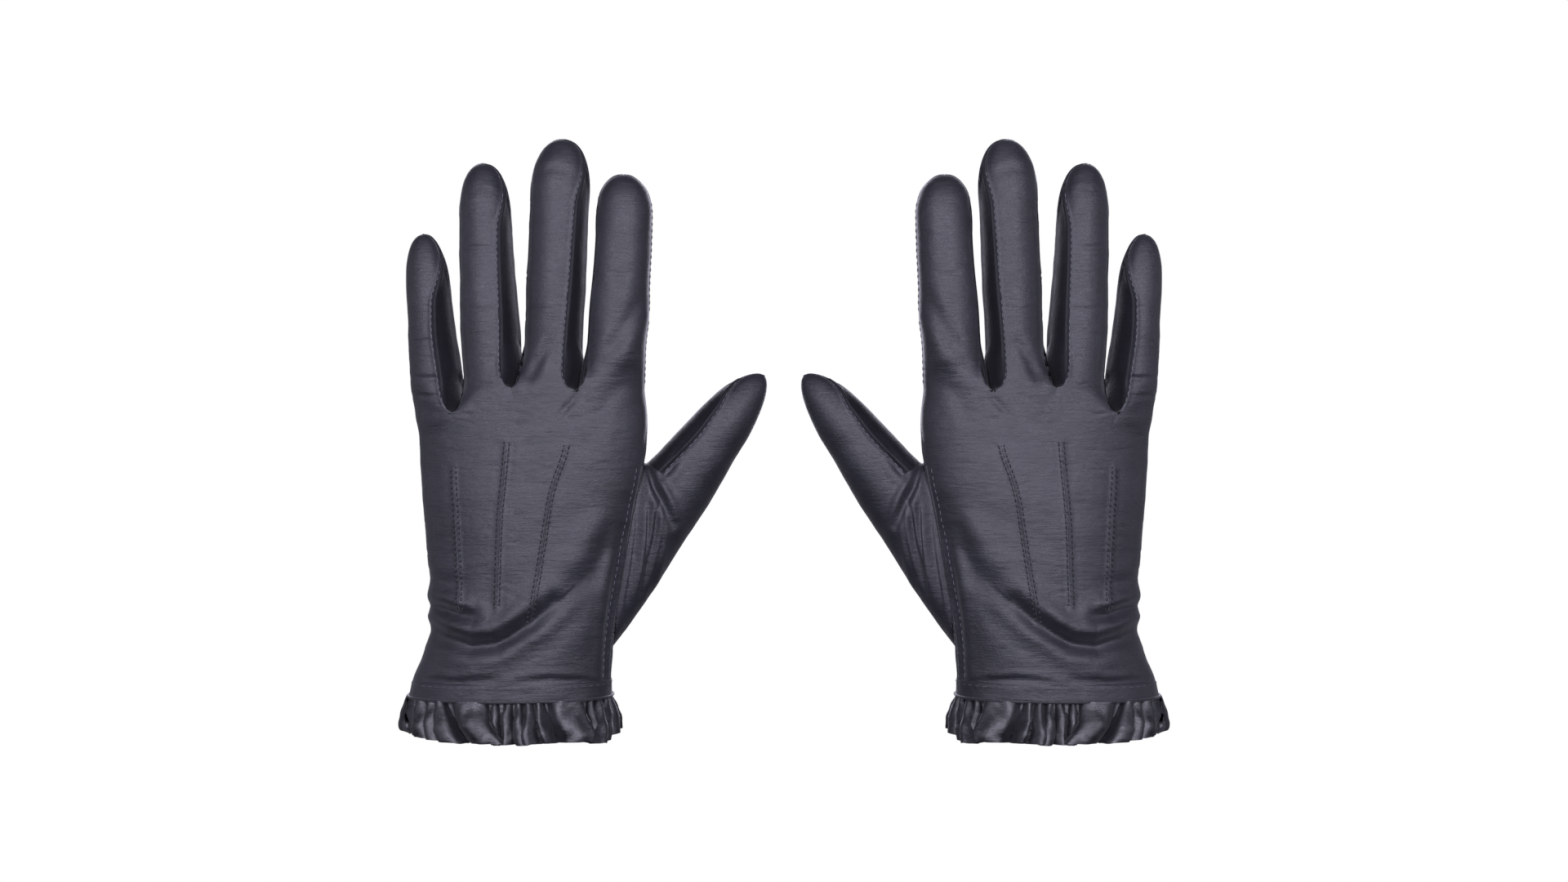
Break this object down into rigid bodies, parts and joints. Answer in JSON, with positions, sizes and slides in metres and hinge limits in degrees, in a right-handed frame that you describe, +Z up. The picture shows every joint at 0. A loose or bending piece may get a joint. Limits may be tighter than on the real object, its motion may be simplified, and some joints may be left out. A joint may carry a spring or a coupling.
{
  "type": "pair of dress gloves",
  "caption": "Pair of short leather dress gloves with ruffled wrists, filled out and standing upright, with bending fingers and thumbs.",
  "frame": {"origin": "middle of the pair, on the plane that both ruffles stand on", "axes": "+Z up towards the fingertips; the backs of the hands face -Y and the palms +Y; +X runs from the left-hand glove to the right-hand glove"},
  "size_m": [0.2858, 0.0484, 0.2185],
  "materials": {
    "leather": "smooth dyed nappa, slate blue-grey, soft sheen",
    "gusset_leather": "smooth dyed nappa, slate blue-grey in shade",
    "ruffle_leather": "thin dyed nappa, gathered, soft sheen",
    "lining": "fine dark knit, matte",
    "thread": "twisted polyester thread, slight sheen"
  },
  "bodies": {
    "left_hand": {"left_back_panel": "leather", "left_palm_panel": "leather", "left_thumb_root": "leather", "left_side_seam": "leather", "left_points": "leather", "left_stitching": "thread", "left_lining": "lining", "left_hem_binding": "leather", "left_ruffle": "ruffle_leather"},
    "left_little_lower": {"left_little_lower_leather": "leather", "left_little_lower_gussets": "gusset_leather"},
    "left_little_upper": {"left_little_upper_leather": "leather", "left_little_upper_gussets": "gusset_leather"},
    "left_ring_lower": {"left_ring_lower_leather": "leather", "left_ring_lower_gussets": "gusset_leather"},
    "left_ring_upper": {"left_ring_upper_leather": "leather", "left_ring_upper_gussets": "gusset_leather"},
    "left_middle_lower": {"left_middle_lower_leather": "leather", "left_middle_lower_gussets": "gusset_leather"},
    "left_middle_upper": {"left_middle_upper_leather": "leather", "left_middle_upper_gussets": "gusset_leather"},
    "left_index_lower": {"left_index_lower_leather": "leather", "left_index_lower_gussets": "gusset_leather"},
    "left_index_upper": {"left_index_upper_leather": "leather", "left_index_upper_gussets": "gusset_leather"},
    "left_thumb_lower": {"left_thumb_lower_leather": "leather", "left_thumb_lower_gussets": "gusset_leather"},
    "left_thumb_upper": {"left_thumb_upper_leather": "leather", "left_thumb_upper_gussets": "gusset_leather"},
    "right_hand": {"right_back_panel": "leather", "right_palm_panel": "leather", "right_thumb_root": "leather", "right_side_seam": "leather", "right_points": "leather", "right_stitching": "thread", "right_lining": "lining", "right_hem_binding": "leather", "right_ruffle": "ruffle_leather"},
    "right_little_lower": {"right_little_lower_leather": "leather", "right_little_lower_gussets": "gusset_leather"},
    "right_little_upper": {"right_little_upper_leather": "leather", "right_little_upper_gussets": "gusset_leather"},
    "right_ring_lower": {"right_ring_lower_leather": "leather", "right_ring_lower_gussets": "gusset_leather"},
    "right_ring_upper": {"right_ring_upper_leather": "leather", "right_ring_upper_gussets": "gusset_leather"},
    "right_middle_lower": {"right_middle_lower_leather": "leather", "right_middle_lower_gussets": "gusset_leather"},
    "right_middle_upper": {"right_middle_upper_leather": "leather", "right_middle_upper_gussets": "gusset_leather"},
    "right_index_lower": {"right_index_lower_leather": "leather", "right_index_lower_gussets": "gusset_leather"},
    "right_index_upper": {"right_index_upper_leather": "leather", "right_index_upper_gussets": "gusset_leather"},
    "right_thumb_lower": {"right_thumb_lower_leather": "leather", "right_thumb_lower_gussets": "gusset_leather"},
    "right_thumb_upper": {"right_thumb_upper_leather": "leather", "right_thumb_upper_gussets": "gusset_leather"}
  },
  "joints": [
    {"name": "left_little_knuckle", "type": "hinge", "parent": "left_hand", "child": "left_little_lower", "pos_m": [-0.1266, 0.0045, 0.1186], "axis": [-1, 0, 0], "range_deg": [-10, 75], "stiffness_Nm_per_rad": 0.012, "deforming": ["left_lining"]},
    {"name": "left_little_middle", "type": "hinge", "parent": "left_little_lower", "child": "left_little_upper", "pos_m": [-0.12952, 0.004, 0.14841], "axis": [-1, 0, 0], "range_deg": [0, 85], "stiffness_Nm_per_rad": 0.012},
    {"name": "left_ring_knuckle", "type": "hinge", "parent": "left_hand", "child": "left_ring_lower", "pos_m": [-0.10695, 0.005, 0.1246], "axis": [-1, 0, 0], "range_deg": [-10, 75], "stiffness_Nm_per_rad": 0.012, "deforming": ["left_lining"]},
    {"name": "left_ring_middle", "type": "hinge", "parent": "left_ring_lower", "child": "left_ring_upper", "pos_m": [-0.10879, 0.0045, 0.16365], "axis": [-1, 0, 0], "range_deg": [0, 85], "stiffness_Nm_per_rad": 0.012},
    {"name": "left_middle_knuckle", "type": "hinge", "parent": "left_hand", "child": "left_middle_lower", "pos_m": [-0.08485, 0.0052, 0.1271], "axis": [-1, 0, 0], "range_deg": [-10, 75], "stiffness_Nm_per_rad": 0.012, "deforming": ["left_lining"]},
    {"name": "left_middle_middle", "type": "hinge", "parent": "left_middle_lower", "child": "left_middle_upper", "pos_m": [-0.08338, 0.00465, 0.16914], "axis": [-1, 0, 0], "range_deg": [0, 85], "stiffness_Nm_per_rad": 0.012},
    {"name": "left_index_knuckle", "type": "hinge", "parent": "left_hand", "child": "left_index_lower", "pos_m": [-0.06235, 0.0051, 0.1271], "axis": [-1, 0, 0], "range_deg": [-10, 75], "stiffness_Nm_per_rad": 0.012, "deforming": ["left_lining"]},
    {"name": "left_index_middle", "type": "hinge", "parent": "left_index_lower", "child": "left_index_upper", "pos_m": [-0.06021, 0.0046, 0.16321], "axis": [-1, 0, 0], "range_deg": [0, 85], "stiffness_Nm_per_rad": 0.012},
    {"name": "left_thumb_base", "type": "hinge", "parent": "left_hand", "child": "left_thumb_lower", "pos_m": [-0.0392, 0.0134, 0.0921], "axis": [-0.8251, 0, 0.565], "range_deg": [-10, 45], "stiffness_Nm_per_rad": 0.012, "deforming": ["left_lining"]},
    {"name": "left_thumb_tip", "type": "hinge", "parent": "left_thumb_lower", "child": "left_thumb_upper", "pos_m": [-0.02818, 0.0129, 0.10819], "axis": [-0.8251, 0, 0.565], "range_deg": [0, 60], "stiffness_Nm_per_rad": 0.012},
    {"name": "right_little_knuckle", "type": "hinge", "parent": "right_hand", "child": "right_little_lower", "pos_m": [0.1266, 0.0045, 0.1186], "axis": [-1, 0, 0], "range_deg": [-10, 75], "stiffness_Nm_per_rad": 0.012, "deforming": ["right_lining"]},
    {"name": "right_little_middle", "type": "hinge", "parent": "right_little_lower", "child": "right_little_upper", "pos_m": [0.12952, 0.004, 0.14841], "axis": [-1, 0, 0], "range_deg": [0, 85], "stiffness_Nm_per_rad": 0.012},
    {"name": "right_ring_knuckle", "type": "hinge", "parent": "right_hand", "child": "right_ring_lower", "pos_m": [0.10695, 0.005, 0.1246], "axis": [-1, 0, 0], "range_deg": [-10, 75], "stiffness_Nm_per_rad": 0.012, "deforming": ["right_lining"]},
    {"name": "right_ring_middle", "type": "hinge", "parent": "right_ring_lower", "child": "right_ring_upper", "pos_m": [0.10879, 0.0045, 0.16365], "axis": [-1, 0, 0], "range_deg": [0, 85], "stiffness_Nm_per_rad": 0.012},
    {"name": "right_middle_knuckle", "type": "hinge", "parent": "right_hand", "child": "right_middle_lower", "pos_m": [0.08485, 0.0052, 0.1271], "axis": [-1, 0, 0], "range_deg": [-10, 75], "stiffness_Nm_per_rad": 0.012, "deforming": ["right_lining"]},
    {"name": "right_middle_middle", "type": "hinge", "parent": "right_middle_lower", "child": "right_middle_upper", "pos_m": [0.08338, 0.00465, 0.16914], "axis": [-1, 0, 0], "range_deg": [0, 85], "stiffness_Nm_per_rad": 0.012},
    {"name": "right_index_knuckle", "type": "hinge", "parent": "right_hand", "child": "right_index_lower", "pos_m": [0.06235, 0.0051, 0.1271], "axis": [-1, 0, 0], "range_deg": [-10, 75], "stiffness_Nm_per_rad": 0.012, "deforming": ["right_lining"]},
    {"name": "right_index_middle", "type": "hinge", "parent": "right_index_lower", "child": "right_index_upper", "pos_m": [0.06021, 0.0046, 0.16321], "axis": [-1, 0, 0], "range_deg": [0, 85], "stiffness_Nm_per_rad": 0.012},
    {"name": "right_thumb_base", "type": "hinge", "parent": "right_hand", "child": "right_thumb_lower", "pos_m": [0.0392, 0.0134, 0.0921], "axis": [-0.8251, 0, -0.565], "range_deg": [-10, 45], "stiffness_Nm_per_rad": 0.012, "deforming": ["right_lining"]},
    {"name": "right_thumb_tip", "type": "hinge", "parent": "right_thumb_lower", "child": "right_thumb_upper", "pos_m": [0.02818, 0.0129, 0.10819], "axis": [-0.8251, 0, -0.565], "range_deg": [0, 60], "stiffness_Nm_per_rad": 0.012},
    {"name": "right_glove_apart", "type": "slide", "parent": "left_hand", "child": "right_hand", "axis": [1, 0, 0], "range_m": [0, 0.1]}
  ]
}
